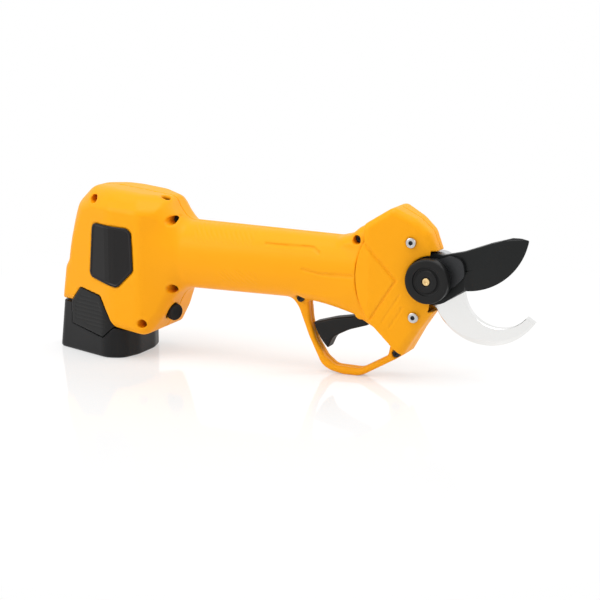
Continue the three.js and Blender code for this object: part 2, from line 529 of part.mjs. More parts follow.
function driveGear() {
  const teeth = PINION_TEETH * BEVEL_RATIO;
  const pitch = 360 / teeth;
  const span = [...arc(PIVOT_X, AXIS_Z, BEVEL_OUTER + 1, 174, 232, 10), ...arc(PIVOT_X, AXIS_Z, 5, 232, 174, 3)];
  const lug = [[96, 56, 0], [108.6, 59.4, 3], [115.2, 66, 5], [113.6, 75.5, 5], [106, 77.2, 5], [92, 72, 0]];
  // the rim of the sector is dished so that the roots of its teeth follow the cone
  const dish = turned('y', [[BEVEL_INNER - 1, -BEVEL_INNER / BEVEL_RATIO - 0.9], [BEVEL_OUTER + 2, -(BEVEL_OUTER + 2) / BEVEL_RATIO - 1.2],
    [BEVEL_OUTER + 2, 0], [BEVEL_INNER - 1, 0], [BEVEL_INNER - 1, -BEVEL_INNER / BEVEL_RATIO - 0.9]], PIVOT_X, AXIS_Z, 36);
  const rows = Array.from({ length: 10 }, (_, k) => bevelTooth(radians(180 - pitch / 2 + pitch * k), teeth, 0.78));
  const body = prism('y', span, GEAR_FACE, GEAR_BACK).add(prism('y', lug, GEAR_FACE, GEAR_BACK))
    .add(rod('y', 12.5, GEAR_FACE, GEAR_BACK, PIVOT_X, AXIS_Z, 24))
    .subtract(ring('y', GEAR_WEB_RADIUS, NUT_NOTCH_RADIUS - 0.6, GEAR_FACE - 1, GEAR_WEB_FACE, PIVOT_X, AXIS_Z, 24))
    .subtract(dish).add(union(rows).intersect(prism('y', span, GEAR_FACE, -4)))
    .subtract(rod('y', BOLT_RADIUS + RUN, -20, 0, PIVOT_X, AXIS_Z, 24));
  addPart('drive_gear', body, darkSteel());
}

function bevelPinion() {
  const spans = [PIVOT_X - BEVEL_OUTER, PIVOT_X - BEVEL_INNER];
  const toothed = (x) => {
    const scale = (PIVOT_X - x) / BEVEL_OUTER;
    const pitchRadius = (PIVOT_X - x) / BEVEL_RATIO;
    const pitch = 2 * Math.PI / PINION_TEETH;
    return Array.from({ length: PINION_TEETH }, (_, k) => {
      const middle = -Math.PI / 2 + pitch * k;
      return [[-0.33, -0.95], [-0.15, 0.7], [0.15, 0.7], [0.33, -0.95]].map(([turn, height]) => {
        const radius = pitchRadius + height * scale;
        const angle = middle + turn * pitch;
        return new THREE.Vector3(x, radius * Math.sin(angle), AXIS_Z + radius * Math.cos(angle));
      });
    }).flat().toReversed();
  };
  const head = solid(new LoftGeometry(spans.map(toothed), { capStart: true, capEnd: true }));
  const shaft = rod('x', SHAFT_RADIUS, STAGE_X[1] + STAGE_LENGTH + 4.4, spans[0] + 1, 0, AXIS_Z, 24);
  const collar = rod('x', 4.7, BARREL[1] + GAP, spans[0] + 0.5, 0, AXIS_Z, 24);
  addPart('bevel_pinion', head.add(shaft).add(collar), steel());
  [BARREL[0] + 0.5, BARREL[1] - 0.5 - BEARING_WIDTH].forEach((x, i) => {
    addPart(`pinion_bearing_${i + 1}`, ring('x', BEARING_RADIUS, SHAFT_RADIUS + RUN, x, x + BEARING_WIDTH, 0, AXIS_Z, 24), steel());
  });
}

// ================= planetary gearbox =================

const RING_TEETH = SUN_TEETH + 2 * PLANET_TEETH;
const PLANET_ORBIT = PLANET_MODULE * (SUN_TEETH + PLANET_TEETH) / 2;
const PLANET_PIN = 1.2;

// Straight teeth about the x axis through (y, z); the first tooth points along +y.
function spurGear(teeth, from, to, y, z, { first = 0, tip = 0.85, root = -1.15, thin = 1 } = {}) {
  const pitchRadius = PLANET_MODULE * teeth / 2;
  const pitch = 2 * Math.PI / teeth;
  const corners = Array.from({ length: teeth }, (_, k) => [[-0.31, root], [-0.12, tip], [0.12, tip], [0.31, root]].map(([turn, height]) => {
    const radius = pitchRadius + height * PLANET_MODULE;
    const angle = first + pitch * (k + turn * thin);
    return [y + radius * Math.cos(angle), z + radius * Math.sin(angle), 0];
  })).flat();
  return prism('x', corners, from, to);
}

function gearbox() {
  const rear = MOTOR_FRONT + GAP;
  const bore = spurGear(RING_TEETH, rear + 2, BARREL[0], 0, AXIS_Z, { tip: 1.3, root: -0.7, thin: 1.35 });
  const ringGear = rod('x', TRAIN_RADIUS, rear, BARREL[0] - GAP, 0, AXIS_Z, 28)
    .subtract(bore).subtract(rod('x', 5.2, rear - 1, rear + 3, 0, AXIS_Z, 24));
  addPart('ring_gear', ringGear, steel());
  STAGE_X.forEach((x, stage) => {
    for (let k = 0; k < PLANETS; k += 1) {
      const angle = radians(360 / PLANETS * k);
      const y = PLANET_ORBIT * Math.cos(angle);
      const z = AXIS_Z + PLANET_ORBIT * Math.sin(angle);
      const planet = spurGear(PLANET_TEETH, x, x + STAGE_LENGTH, y, z, { first: angle })
        .subtract(rod('x', PLANET_PIN + RUN, x - 1, x + STAGE_LENGTH + 1, y, z, 12));
      addPart(`planet_${stage + 1}_${k + 1}`, planet, steel());
    }
  });
}

function carrier(stage) {
  const disc = STAGE_X[stage] + STAGE_LENGTH + GAP;
  const pins = Array.from({ length: PLANETS }, (_, k) => {
    const angle = radians(360 / PLANETS * k);
    return rod('x', PLANET_PIN, STAGE_X[stage], disc + 1, PLANET_ORBIT * Math.cos(angle), AXIS_Z + PLANET_ORBIT * Math.sin(angle), 12);
  });
  return rod('x', 10.6, disc, disc + 2.6, 0, AXIS_Z, 24).add(union(pins));
}

function carriers() {
  const first = carrier(0);
  addPart('first_carrier', first.add(spurGear(SUN_TEETH, STAGE_X[0] + STAGE_LENGTH + 2, STAGE_X[1] + STAGE_LENGTH, 0, AXIS_Z)), steel());
  const start = STAGE_X[1] + STAGE_LENGTH + GAP;
  const second = carrier(1).add(rod('x', 6.4, start + 1, start + 8, 0, AXIS_Z, 24))
    .subtract(rod('x', SHAFT_RADIUS + GAP, start + 3.4, start + 9, 0, AXIS_Z, 24));
  addPart('output_carrier', second, steel());
}

// ================= motor =================

function motor() {
  const can = rod('x', MOTOR_RADIUS, MOTOR_REAR + 4.3, MOTOR_FRONT, 0, AXIS_Z, 24)
    .subtract(rod('x', MOTOR_RADIUS - 1.3, MOTOR_REAR, MOTOR_FRONT - 2, 0, AXIS_Z, 24))
    .subtract(rod('x', 4.6, MOTOR_FRONT - 3, MOTOR_FRONT + 1, 0, AXIS_Z, 24));
  addPart('motor_can', can, darkSteel());
  addPart('motor_stator', ring('x', MOTOR_RADIUS - 1.6, 8.4, -40, -12, 0, AXIS_Z, 24), finish(0xa8622f, 0.5, 0.6));
  const shaft = rod('x', 2, MOTOR_REAR + 1, 1.5, 0, AXIS_Z, 16);
  const core = rod('x', 7.8, -40, -12, 0, AXIS_Z, 24);
  addPart('motor_rotor', shaft.add(core).add(spurGear(SUN_TEETH, 1, STAGE_X[0] + STAGE_LENGTH, 0, AXIS_Z)), steel());
  const cap = turned('x', [[2 + RUN, MOTOR_REAR], [MOTOR_RADIUS, MOTOR_REAR], [MOTOR_RADIUS, MOTOR_REAR + 4],
    [2 + RUN, MOTOR_REAR + 4], [2 + RUN, MOTOR_REAR]], 0, AXIS_Z, 24);
  addPart('motor_end_cap', cap, blackPlastic());
}

// ================= trigger, button and electronics =================

function triggerGroup() {
  const [px, pz] = TRIGGER_PIVOT;
  const lever = [...arc(px, pz, TRIGGER_REACH, 197, 226, 4), [32.5, 22.4, 8], [43, 27.8, 14], [54.5, 31.4, 0],
    [px + 4, pz - 2, 0], [px, pz, 0], [px - 4, pz - 2, 0], [46, 36.2, 6], [33, 34, 16]];
  const body = prism('y', lever, -TRIGGER_HALF_WIDTH, TRIGGER_HALF_WIDTH)
    .add(rod('y', 4.4, -TRIGGER_HALF_WIDTH, TRIGGER_HALF_WIDTH, px, pz, 24))
    .subtract(rod('y', 4.9, 2.4, 10, px, pz, 24))
    .subtract(rod('y', TRIGGER_PIN_RADIUS + RUN, -10, 10, px, pz, 20));
  addPart('trigger', body, blackPlastic());
  addPart('trigger_pin', rod('y', TRIGGER_PIN_RADIUS, -11.2, 11.2, px, pz, 20), steel());
  addPart('trigger_spring', torsionSpring(px, pz), steel());
  addPart('trigger_switch', box(36, 45, -3.4, 3.4, 41, 46.8), blackPlastic());
}

// A short coil of round wire about the trigger's pin.
function torsionSpring(px, pz) {
  const turns = 2.5;
  const wire = 0.35;
  const points = Array.from({ length: 31 }, (_, k) => {
    const angle = 2 * Math.PI * turns * k / 30;
    return new THREE.Vector3(px + 3.1 * Math.cos(angle), 3 + 2 * k / 30, pz + 3.1 * Math.sin(angle));
  });
  const section = new THREE.Shape(Array.from({ length: 5 }, (_, k) => new THREE.Vector2(
    wire * Math.cos(0.4 * Math.PI * k), wire * Math.sin(0.4 * Math.PI * k))));
  const path = new THREE.CatmullRomCurve3(points);
  return solid(new THREE.ExtrudeGeometry(section, { steps: 26, extrudePath: path, bevelEnabled: false }));
}

function powerButton() {
  const cap = buttonRod(BUTTON_RADIUS, -0.6, 2.2).add(buttonRod(2.2, -5.2, 0));
  addPart('power_button', cap, blackRubber());
  addPart('power_switch', buttonRod(BUTTON_RADIUS - 1.4, -9, -5.2 - BUTTON_TRAVEL - GAP), blackPlastic());
}

function electronics() {
  const { x0, x1, halfWidth, z, thickness } = BOARD;
  addPart('control_board', box(x0, x1, -halfWidth, halfWidth, z, z + thickness)
    .add(box(x1 - 1, LIGHT.x + 4, LIGHT.y - 4, LIGHT.y + 4, z, z + thickness)), finish(0x1f5a3a, 0.6));
  addPart('board_capacitor', rod('x', 3.5, -114, -98, 6, z + thickness + GAP + 3.5, 20), finish(0x24344f, 0.5));
  addPart('contact_block', box(-125, -113, -8, 8, z - GAP - CONTACT_HEIGHT, z - GAP), blackPlastic());
  addPart('status_light', rod('z', LIGHT.radius, z + thickness + GAP, z + thickness + 4, LIGHT.x, LIGHT.y, 16), finish(0x5a1410, 0.2));
}

// ================= battery pack =================

function batteryCase() {
  const seam = inset(HOUSING_SIDE, -0.5).slice(0, 4).map(([x, z]) => [x, z, 0]);
  const rear = HOUSING_PLAN[0][0];
  const below = [[rear, -0.1, 0], [-60, -0.1, 0], [-60, seam[3][1], 0], seam[3], seam[2], seam[1], [rear + PACK_LEAN, seam[1][1], 0]];
  const skin = packPrism(0, 1.2, 60).add(packPrism(0.45, 0.35, 60)).add(packPrism(1.2, 0, 60)).intersect(prism('y', below, -60, 60));
  const insert = insertPrism(0, 1, PACK_SHOULDER).add(insertPrism(0, 1, PACK_INSERT_TOP, PACK_TOWER_REAR));
  const hollow = insertPrism(PACK_WALL, PACK_FLOOR, PACK_SHOULDER - PACK_WALL)
    .add(insertPrism(PACK_WALL, PACK_FLOOR, PACK_INSERT_TOP + 1, PACK_TOWER_REAR));
  const recess = latchWindow(0.4).subtract(packPrism(PACK_INSERT, 0, 60));
  addPart('battery_case', skin.subtract(recess).add(insert).subtract(hollow), blackPlastic());
  const lid = PACK_INSERT_TOP + GAP;
  const tower = box(-126, -114, -7, 7, lid + 2, BOARD.z - GAP - CONTACT_HEIGHT - GAP);
  addPart('battery_lid', insertPrism(0, lid, lid + 3, PACK_TOWER_REAR).add(tower), blackPlastic());
}

function latches() {
  const skin = packPrism(0, 5, 60).subtract(packPrism(LATCH_THICKNESS, 0, 70)).intersect(latchWindow(0));
  addPart('right_latch', skin.intersect(box(-200, 0, -60, 0, 0, 100)), blackPlastic());
  addPart('left_latch', skin.intersect(box(-200, 0, 0, 60, 0, 100)), blackPlastic());
}

function cells() {
  const foot = PACK_FLOOR + GAP;
  const half = CELL_RADIUS + 0.2;
  const places = [[CELL_FRONT_X, -half], [CELL_FRONT_X, half], [CELL_FRONT_X - half * Math.sqrt(3), 0]];
  places.forEach(([x, y], i) => {
    addPart(`cell_${i + 1}`, rod('z', CELL_RADIUS, foot, foot + CELL_LENGTH, x, y, 24), finish(0x2f6f9a, 0.4));
  });
  const top = foot + CELL_LENGTH + GAP;
  addPart('battery_board', insertPrism(PACK_WALL + GAP, top, top + 1.4, PACK_TOWER_REAR), finish(0x1f5a3a, 0.6));
}

bodyShells();
bodyScrews();
badge();
headCovers();
headScrews();
headFrame();
hook();
blade();
pivotStack();
driveGear();
bevelPinion();
gearbox();
carriers();
motor();
triggerGroup();
powerButton();
electronics();
batteryCase();
latches();
cells();

export default group;
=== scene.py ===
import math

import bpy
import numpy as np
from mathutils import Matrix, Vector


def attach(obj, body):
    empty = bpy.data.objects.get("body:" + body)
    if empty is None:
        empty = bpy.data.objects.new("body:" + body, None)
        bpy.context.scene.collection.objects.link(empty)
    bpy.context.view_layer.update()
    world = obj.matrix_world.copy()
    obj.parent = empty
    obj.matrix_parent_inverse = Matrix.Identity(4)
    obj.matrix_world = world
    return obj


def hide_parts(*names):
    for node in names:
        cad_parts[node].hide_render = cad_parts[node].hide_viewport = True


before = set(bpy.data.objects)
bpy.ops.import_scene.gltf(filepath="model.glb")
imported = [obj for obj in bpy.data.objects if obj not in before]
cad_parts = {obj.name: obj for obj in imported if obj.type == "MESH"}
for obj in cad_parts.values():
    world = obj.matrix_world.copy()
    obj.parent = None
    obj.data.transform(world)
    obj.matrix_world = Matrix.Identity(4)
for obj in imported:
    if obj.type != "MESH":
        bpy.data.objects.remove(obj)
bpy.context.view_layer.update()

# ================= body shells =================
# The tool's body is two orange glass-filled nylon mouldings that meet on the middle plane: a tall rear
# housing for the battery, a round handle, and a guard loop. Their surface is finely pebbled, with
# screw wells on the right half, two long grooves and two faint hatched grips on each side.


def outline(corners, step=7.0):
    """Closed polygon through corners (a, b, radius): each corner becomes an arc tangent to both sides."""
    points = []
    for i, (a, b, radius) in enumerate(corners):
        here = np.array([a, b], float)
        back = np.array(corners[i - 1][:2]) - here
        ahead = np.array(corners[(i + 1) % len(corners)][:2]) - here
        back, ahead = back / np.linalg.norm(back), ahead / np.linalg.norm(ahead)
        half = math.acos(np.clip(back @ ahead, -1, 1)) / 2
        if radius == 0 or half > 1.53:
            points.append(here[None])
            continue
        centre = here + (back + ahead) / np.linalg.norm(back + ahead) * radius / math.sin(half)
        first = here + back * radius / math.tan(half) - centre
        to_corner = here - centre
        way = np.sign(first[0] * to_corner[1] - first[1] * to_corner[0])
        count = max(2, int(math.degrees(math.pi - 2 * half) / step) + 1)
        turn = way * (math.pi - 2 * half) * np.linspace(0, 1, count)
        points.append(centre + np.stack([first[0] * np.cos(turn) - first[1] * np.sin(turn),
                                         first[0] * np.sin(turn) + first[1] * np.cos(turn)], 1))
    return np.concatenate(points)


def arc(ca, cb, radius, start, end, count):
    """Points (a, b, 0) at equal angles on a circle about (ca, cb), from start to end degrees."""
    t = np.radians(np.linspace(start, end, count))
    return [(ca + radius * c, cb + radius * s, 0) for c, s in zip(np.cos(t), np.sin(t))]


def flat(points, a, b):
    """Signed distance from (a, b) to a closed polygon, negative inside it: the nearest side decides."""
    a, b = np.broadcast_arrays(np.asarray(a, np.float32), np.asarray(b, np.float32))
    best = np.full(a.shape, 1e9, np.float32)
    inside = np.zeros(a.shape, bool)
    for (pa, pb), (qa, qb) in zip(points, np.roll(points, -1, axis=0)):
        ea, eb = qa - pa, qb - pb
        t = np.clip(((a - pa) * ea + (b - pb) * eb) / (ea * ea + eb * eb + 1e-12), 0, 1)
        best = np.minimum(best, (a - pa - t * ea) ** 2 + (b - pb - t * eb) ** 2)
        if pb != qb:
            inside ^= ((pb > b) != (qb > b)) & (a < ea * (b - pb) / eb + pa)
    return np.where(inside, -1, 1) * np.sqrt(best)


def line(points, a, b):
    """Distance from (a, b) to an open run of straight pieces."""
    best = 1e9
    for (pa, pb), (qa, qb) in zip(points[:-1], points[1:]):
        ea, eb = qa - pa, qb - pb
        t = np.clip(((a - pa) * ea + (b - pb) * eb) / (ea * ea + eb * eb), 0, 1)
        best = np.minimum(best, np.hypot(a - pa - t * ea, b - pb - t * eb))
    return best


def joined(p, q, radius):
    """Two solids as one, with a fillet of about this radius where they meet."""
    gap = np.maximum(radius - np.abs(p - q), 0)
    return np.minimum(p, q) - gap * gap / (4 * radius)


def common(p, q, radius):
    """What two solids share, its edge rounded to an arc of this radius."""
    past = np.hypot(np.maximum(p + radius, 0), np.maximum(q + radius, 0))
    return np.minimum(np.maximum(p, q), -radius) + past


def overlap(*solids):
    """What all these solids share, with sharp edges."""
    return np.maximum.reduce(np.broadcast_arrays(*solids))


def without(p, q, radius=0.5):
    """The first solid less the second, the new edge rounded."""
    return common(p, -q, radius)


def surface(field, low, high, step):
    """Points and faces of field = 0 on a grid: each grid cell that the surface crosses gets one point at
    the mean of the crossings on its edges, and each crossed grid edge joins its four cells in a quad."""
    axes = [np.arange(a - 1.5 * step, b + 2 * step, step, dtype=np.float32) for a, b in zip(low, high)]
    x, y, z = np.meshgrid(*axes, indexing="ij", sparse=True)
    f = np.broadcast_to(field(x, y, z), [len(a) for a in axes]).astype(np.float32)
    inside = f < 0
    corners = [(i, j, k) for i in (0, 1) for j in (0, 1) for k in (0, 1)]
    n = [len(a) - 1 for a in axes]
    count = sum(inside[i:i + n[0], j:j + n[1], k:k + n[2]].astype(np.int8) for i, j, k in corners)
    cell = np.argwhere((count > 0) & (count < 8))
    number = np.full(n, -1, np.int64)
    number[tuple(cell.T)] = np.arange(len(cell))
    value = {c: f[tuple((cell + c).T)] for c in corners}
    total, hits = np.zeros((len(cell), 3)), np.zeros(len(cell))
    for c in corners:
        for axis in range(3):
            if c[axis] == 1:
                continue
            d = tuple(1 if m == axis else v for m, v in enumerate(c))
            crossed = (value[c] < 0) != (value[d] < 0)
            share = np.where(crossed, value[c] / np.where(crossed, value[c] - value[d], 1), 0)
            spot = np.array(c, float)[None].repeat(len(cell), 0)
            spot[:, axis] = share
            total += spot * crossed[:, None]
            hits += crossed
    points = (cell + total / hits[:, None]) * step + np.array([a[0] for a in axes])
    faces = []
    for axis in range(3):
        one, two = (axis + 1) % 3, (axis + 2) % 3
        ahead = np.zeros(3, int)
        ahead[axis] = 1
        base = inside[tuple(slice(0, s - a) for s, a in zip(inside.shape, ahead))]
        after = inside[tuple(slice(a, None) for a in ahead)]
        spot = np.argwhere(base != after)
        out = base[tuple(spot.T)]
        ring = []
        for da, db in ((1, 1), (0, 1), (0, 0), (1, 0)):
            place = spot.copy()
            place[:, one] -= da
            place[:, two] -= db
            ring.append(number[tuple(place.T)])
        quads = np.stack([ring[0], ring[1], ring[2], ring[3]], 1)
        faces += [quads[out], quads[~out][:, ::-1]]
    return points, np.concatenate(faces)


def make(name, points, faces, material, body, nodes=(), keep=1.0, sharp=40):
    """A piece of the tool from points in millimetres: mesh, shading, material and its place in the frame."""
    mesh = bpy.data.meshes.new(name)
    if isinstance(faces, np.ndarray):
        width = faces.shape[1]
        mesh.vertices.add(len(points))
        mesh.vertices.foreach_set("co", (np.asarray(points, np.float32) * 0.001).ravel())
        mesh.loops.add(faces.size)
        mesh.loops.foreach_set("vertex_index", faces.ravel().astype(np.int32))
        mesh.polygons.add(len(faces))
        mesh.polygons.foreach_set("loop_start", np.arange(len(faces), dtype=np.int32) * width)
        mesh.update(calc_edges=True)
    else:
        corners = [tuple(p) for p in np.asarray(points) * 0.001]
        mesh.from_pydata(corners, [], [tuple(map(int, f)) for f in faces])
    mesh.validate()
    piece = bpy.data.objects.new(name, mesh)
    bpy.context.collection.objects.link(piece)
    if keep < 1:
        thin = piece.modifiers.new("thin", "DECIMATE")
        thin.ratio = keep
        fewer = bpy.data.meshes.new_from_object(piece.evaluated_get(bpy.context.evaluated_depsgraph_get()))
        piece.modifiers.clear()
        piece.data = fewer
        fewer.name = name
    piece.data.shade_smooth()
    piece.data.set_sharp_from_angle(angle=math.radians(sharp))
    piece.data.materials.clear()
    piece.data.materials.append(material)
    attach(piece, body)
    if nodes:
        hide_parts(*nodes)
    return piece


class Map:
    """A shader value. Arithmetic on it adds Math nodes, math() adds one on the values it is given, in their
    order, and node() adds any other node."""

    def __init__(self, tree, socket):
        self.tree, self.socket = tree, socket

    def node(self, kind, output=0, settings=(), **inputs):
        made = self.tree.nodes.new(kind)
        for key, value in dict(settings).items():
            setattr(made, key, value)
        for key, value in inputs.items():
            socket = made.inputs[int(key[1:])] if key[0] == "i" and key[1:].isdigit() else made.inputs[key]
            if isinstance(value, Map):
                self.tree.links.new(value.socket, socket)
            else:
                socket.default_value = value
        return Map(self.tree, made.outputs[output])

    def math(self, operation, *values):
        return self.node("ShaderNodeMath", settings={"operation": operation},
                         **{f"i{n}": v for n, v in enumerate(values)})

    def __add__(self, other): return self.math("ADD", self, other)
    def __radd__(self, other): return self.math("ADD", other, self)
    def __sub__(self, other): return self.math("SUBTRACT", self, other)
    def __rsub__(self, other): return self.math("SUBTRACT", other, self)
    def __mul__(self, other): return self.math("MULTIPLY", self, other)
    def __rmul__(self, other): return self.math("MULTIPLY", other, self)
    def __truediv__(self, other): return self.math("DIVIDE", self, other)
    def __rtruediv__(self, other): return self.math("DIVIDE", other, self)


def surfaced(name, colour, roughness, metallic=0.0, grain=None, wear=None, extra=None, **shader):
    """A Principled material. grain (scale per metre, height in metres) is a fine pebble in the normal,
    wear (scale, amount) varies the roughness, and extra(object position) adds a height in metres."""
    material = bpy.data.materials.new(name)
    material.use_nodes = True
    tree = material.node_tree
    principled = tree.nodes["Principled BSDF"]
    principled.inputs["Base Color"].default_value = (*colour, 1)
    principled.inputs["Roughness"].default_value = roughness
    principled.inputs["Metallic"].default_value = metallic
    for key, value in shader.items():
        principled.inputs[key.replace("_", " ")].default_value = value
    place = Map(tree, tree.nodes.new("ShaderNodeTexCoord").outputs["Object"])
    height = None
    if grain:
        height = place.node("ShaderNodeTexNoise", Vector=place, Scale=grain[0], Detail=3.0) * grain[1]
    if extra:
        added = extra(place)
        height = added if height is None else height + added
    if height is not None:
        bump = place.node("ShaderNodeBump", Height=height, Distance=1.0, Strength=1.0)
        tree.links.new(bump.socket, principled.inputs["Normal"])
    if wear:
        varied = place.node("ShaderNodeTexNoise", Vector=place, Scale=wear[0], Detail=4.0)
        varied = varied * (2 * wear[1]) + (roughness - wear[1])
        tree.links.new(varied.socket, principled.inputs["Roughness"])
    return material


def mirrored(corners):
    """A plan outline from its left half (x, y, radius), rear to front: the right half is its reflection."""
    return outline([(x, -y, radius) for x, y, radius in corners] + corners[::-1])


WALL = 2.6                      # millimetres, like all shapes; shaders, lights and camera use metres
HALF_GAP = 0.15                 # from the middle plane to each half of the tool
AXIS_Z, PIVOT_X = 62.8, 94.6    # height of the drive axis, and the blade pivot along it
HEAD_RIM = [(79, 16.6, 0), (88, 31.8, 10), (97.4, 45, 2), (98.8, 78.2, 2), (94, 90.4, 8), (86, 97.2, 10),
            (72.6, 104, 5)]
HEAD_SEAM = arc(PIVOT_X, AXIS_Z, 43, 150.6, 219, 30)
HEAD = outline(HEAD_SEAM + [(73.6, 21.6, 0)] + HEAD_RIM + [(56.6, 93.8, 1)])
HOUSING = outline([
    (-152.2, 31, 0), (-141, 31, 0), (-106, 20, 0), (-83, 16, 5), (-74, 29, 12), (-66, 46, 6), (-63.5, 84, 8),
    (-72.5, 100, 8), (-113, 105.1, 22), (-127, 104.9, 10), (-138.8, 95, 10), (-141.4, 78, 0),
    (-145.3, 57.6, 3), (-148.4, 52.6, 3)])
HOUSING_PLAN = mirrored([(-154.8, 9.4, 7), (-106.5, 27.6, 20), (-86, 27.6, 12), (-62, 13, 10)])
PACK_PLAN = mirrored([(-154.8, 9.4, 7), (-110, 26.9, 12), (-99.5, 23, 9), (-95.6, 10, 14)])
GUARD = outline([
    (2.2, 49, 0), (10.2, 38.5, 14), (16.8, 21.5, 20), (25.2, 4.4, 10), (31, 1.6, 8), (39, 0, 12), (50, 0, 14),
    (72, 12.4, 8), (79.5, 17.2, 0), (79, 28, 0), (69, 22, 4), (67.5, 14.4, 4), (50, 4.6, 9), (33.5, 5, 7),
    (27.3, 9.8, 8), (21, 19.8, 12), (17.6, 31, 14), (15.8, 49, 0)], 4.0)
GUARD_HALF_WIDTH = 4.6
LOWER_FLARE = outline([
    (16, 50, 0), (32, 44.4, 12), (48, 38.6, 6), (60, 31.8, 0), (73.6, 20.6, 0), (78, 50, 0), (60, 60, 0)])
UPPER_FLARE = outline([
    (40, 78, 0), (62, 70, 0), (66, 97, 0), (57.6, 93.8, 0), (50.8, 90.2, 3), (45.4, 85.6, 6), (40, 82.6, 0)])
TRIGGER_SLOT = outline([
    (31, 41, 0), (48, 34, 0), (62.6, 25, 0), (61.6, 40.6, 0), (57.6, 47.6, 0), (34, 47.6, 0)])
LATCH = outline([
    (-141.4, 17.5, 0), (-113, 12.9, 0), (-104.8, 20.3, 0), (-115.2, 38.3, 2), (-133, 41.3, 2),
    (-141.4, 31.6, 0)])
BADGE = outline([(-120.5, 84, 4), (-123.8, 50, 4), (-101, 45.2, 4), (-89.6, 56.4, 4), (-90.6, 82.4, 5)])
# each screw: x, z and the distances of its seat and of its tip from the middle plane
BODY_SCREWS = [(-120.5, 98, 8, 8), (-69.5, 87, 5, 8), (-69, 45.5, 5, 8), (-85, 24, 12, 12),
               (50.6, 83.4, 6, 7), (12.5, 44.6, 5, 7), (72.8, 16, 2.6, 3.4)]
WELL_RADIUS, BOSS_RADIUS, SHANK_BORE = 2.65, 3.85, 1.5
BARREL_BORE = 15.1              # radius, about the drive axis
GROOVES = [[(-6, 77.6), (24.6, 76.9), (28.6, 74.4)], [(18.6, 64.6), (29, 62.6), (50, 62.6)]]
TRIGGER_PIVOT = (53.6, 40.6)
LIGHT = (-77, -7)               # x and y of the status light
BUTTON = np.array([-72.4, -7.6, 29.2])
BUTTON_AXIS = np.array([0.9, -0.42, -0.1]) / np.linalg.norm([0.9, -0.42, -0.1])


def along_button(x, y, z):
    """Distance along and from the power button's axis."""
    p = (x - BUTTON[0], y - BUTTON[1], z - BUTTON[2])
    along = sum(a * b for a, b in zip(p, BUTTON_AXIS))
    return along, np.sqrt(np.maximum(sum(a * a for a in p) - along * along, 0))


def body_shell(x, y, z):
    """Outside: a superellipse tube about the drive axis, filleted into a side outline cut by a plan
    outline (the housing), into two flares towards the head and into the guard loop. The same shape
    2.6 mm further in is taken out, and so are wells, windows and grooves."""
    side = np.abs(y)
    softness = 5 + 10 * np.clip((z - 62) / 34, 0, 1) ** 2
    housing = common(flat(HOUSING, x, z), flat(HOUSING_PLAN, x, y), softness)
    share = (x + 74) / 138
    across, tall, middle = 19.2 - 2.0 * share, 21.0 - 1.7 * share, 65.6 - 2.2 * share
    tube = ((side / across) ** 2.3 + (np.abs(z - middle) / tall) ** 2.3) ** (1 / 2.3) - 1
    tube = np.maximum(np.maximum(tube * 19, x - 66), -84 - x)
    envelope = joined(housing, tube, 8)
    envelope = joined(envelope, common(flat(LOWER_FLARE, x, z), side - 14, 7), 9)
    envelope = joined(envelope, common(flat(UPPER_FLARE, x, z), side - 13, 7), 5)
    solid = joined(envelope, common(flat(GUARD, x, z), side - GUARD_HALF_WIDTH, 1.7), 3)
    skin = solid
    for groove in GROOVES:
        cut = np.maximum(line(groove, x, z) - 0.75, -(skin + 0.8))
        solid = without(solid, np.maximum(cut, 8 - side), 0.3)
    solid = np.maximum(solid, -(envelope + WALL))
    for sx, sz, depth, reach in BODY_SCREWS:
        from_screw = np.hypot(x - sx, z - sz)
        solid = np.minimum(solid, np.maximum(from_screw - BOSS_RADIUS, envelope))
        solid = without(solid, np.maximum(from_screw - WELL_RADIUS, y + depth), 0.45)
        solid = np.maximum(solid, -np.maximum(from_screw - SHANK_BORE, y - reach - 0.3))
    along, away = along_button(x, y, z)
    solid = np.minimum(solid, overlap(away - 7.4, -4.5 - along, along - 0.2, envelope))
    solid = without(solid, np.maximum(away - 5.5, np.abs(along + 1.5) - 7.5), 0.5)
    solid = without(solid, np.maximum(np.hypot(x - LIGHT[0], y - LIGHT[1]) - 2.9, 88 - z), 0.6)
    solid = without(solid, np.maximum(flat(TRIGGER_SLOT, x, z), side - 5.8), 0.4)
    from_pin = np.hypot(x - TRIGGER_PIVOT[0], z - TRIGGER_PIVOT[1])
    solid = np.minimum(solid, np.maximum(from_pin - 4, np.abs(side - 9.4) - 3.6))
    solid = np.maximum(solid, -np.maximum(from_pin - 2.1, side - 11.5))
    solid = np.maximum(solid, -overlap(flat(PACK_PLAN, x, y) + 2.9, -145.3 - x, z - 37))
    solid = without(solid, np.maximum(flat(LATCH, x, z) - 0.4, 8 - side), 0.4)
    solid = without(solid, overlap(flat(BADGE, x, z) - 0.35, -(skin + 0.9), y + 5), 0.2)
    solid = without(solid, flat(HEAD, x, z) - 0.3, 0.45)
    from_axis = np.hypot(y, z - AXIS_Z)
    solid = np.maximum(solid, -np.maximum(from_axis - 14.5, np.abs(x - 16) - 20))
    return np.maximum(solid, -np.maximum(from_axis - BARREL_BORE, 34.8 - x))


# metres: pitch and height of the ridges, and x and z ranges of the two grips
RIDGE_PITCH, RIDGE_HEIGHT = 0.0032, 0.00015
GRIPS = ((-0.055, -0.014, 0.0755, 0.0865), (-0.037, -0.010, 0.052, 0.062))


